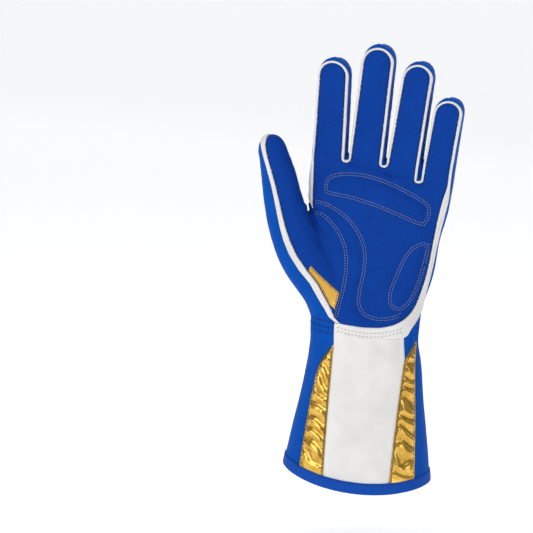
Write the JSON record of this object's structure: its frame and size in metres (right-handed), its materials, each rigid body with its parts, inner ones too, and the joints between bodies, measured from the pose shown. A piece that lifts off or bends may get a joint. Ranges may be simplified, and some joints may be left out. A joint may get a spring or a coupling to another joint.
{
  "type": "karting glove",
  "caption": "Left karting glove with a flared cuff, box-sided fingers, padded suede palm, white back and gold foil strips, open at the cuff for the hand.",
  "frame": {"origin": "middle of the cuff's opening, level with the lowest points of its hem", "axes": "+Z towards the fingertips, -Y out of the palm, -X towards the thumb"},
  "size_m": [0.1361, 0.073, 0.3041],
  "materials": {
    "palm_gold_insert": "smooth gold coated cloth",
    "palm_panel": "blue suede, fine short nap",
    "thumb_edge_piping": "smooth white synthetic leather",
    "palm_edge_piping": "smooth white synthetic leather",
    "cuff_foil_palm_thumb": "crinkled gold foil cloth",
    "cuff_foil_palm_little": "crinkled gold foil cloth",
    "cuff_palm_panel": "smooth white synthetic leather",
    "back_edge_strip": "smooth white synthetic leather",
    "back_panel": "smooth white synthetic leather",
    "thumb_foil_patch": "crinkled gold foil cloth",
    "cuff_foil_back_thumb": "crinkled gold foil cloth",
    "cuff_foil_back_little": "crinkled gold foil cloth",
    "cuff_back_panel": "smooth white synthetic leather",
    "fourchette_index_middle": "blue stretch cloth",
    "fourchette_middle_ring": "blue stretch cloth",
    "fourchette_ring_little": "blue stretch cloth",
    "web_gusset": "blue stretch cloth",
    "hand_side_little": "blue stretch cloth",
    "hand_side_thumb": "blue stretch cloth",
    "knuckle_pad": "blue suede over foam",
    "thumb_pad": "blue suede over foam",
    "heel_pad": "blue suede over foam",
    "hem_binding": "blue woven binding tape"
  },
  "bodies": {
    "root": {"palm_gold_insert": "palm_gold_insert", "palm_panel": "palm_panel", "thumb_edge_piping": "thumb_edge_piping", "palm_edge_piping": "palm_edge_piping", "cuff_foil_palm_thumb": "cuff_foil_palm_thumb", "cuff_foil_palm_little": "cuff_foil_palm_little", "cuff_palm_panel": "cuff_palm_panel", "back_edge_strip": "back_edge_strip", "back_panel": "back_panel", "thumb_foil_patch": "thumb_foil_patch", "cuff_foil_back_thumb": "cuff_foil_back_thumb", "cuff_foil_back_little": "cuff_foil_back_little", "cuff_back_panel": "cuff_back_panel", "fourchette_index_middle": "fourchette_index_middle", "fourchette_middle_ring": "fourchette_middle_ring", "fourchette_ring_little": "fourchette_ring_little", "web_gusset": "web_gusset", "hand_side_little": "hand_side_little", "hand_side_thumb": "hand_side_thumb", "knuckle_pad": "knuckle_pad", "thumb_pad": "thumb_pad", "heel_pad": "heel_pad", "hem_binding": "hem_binding"}
  },
  "joints": []
}
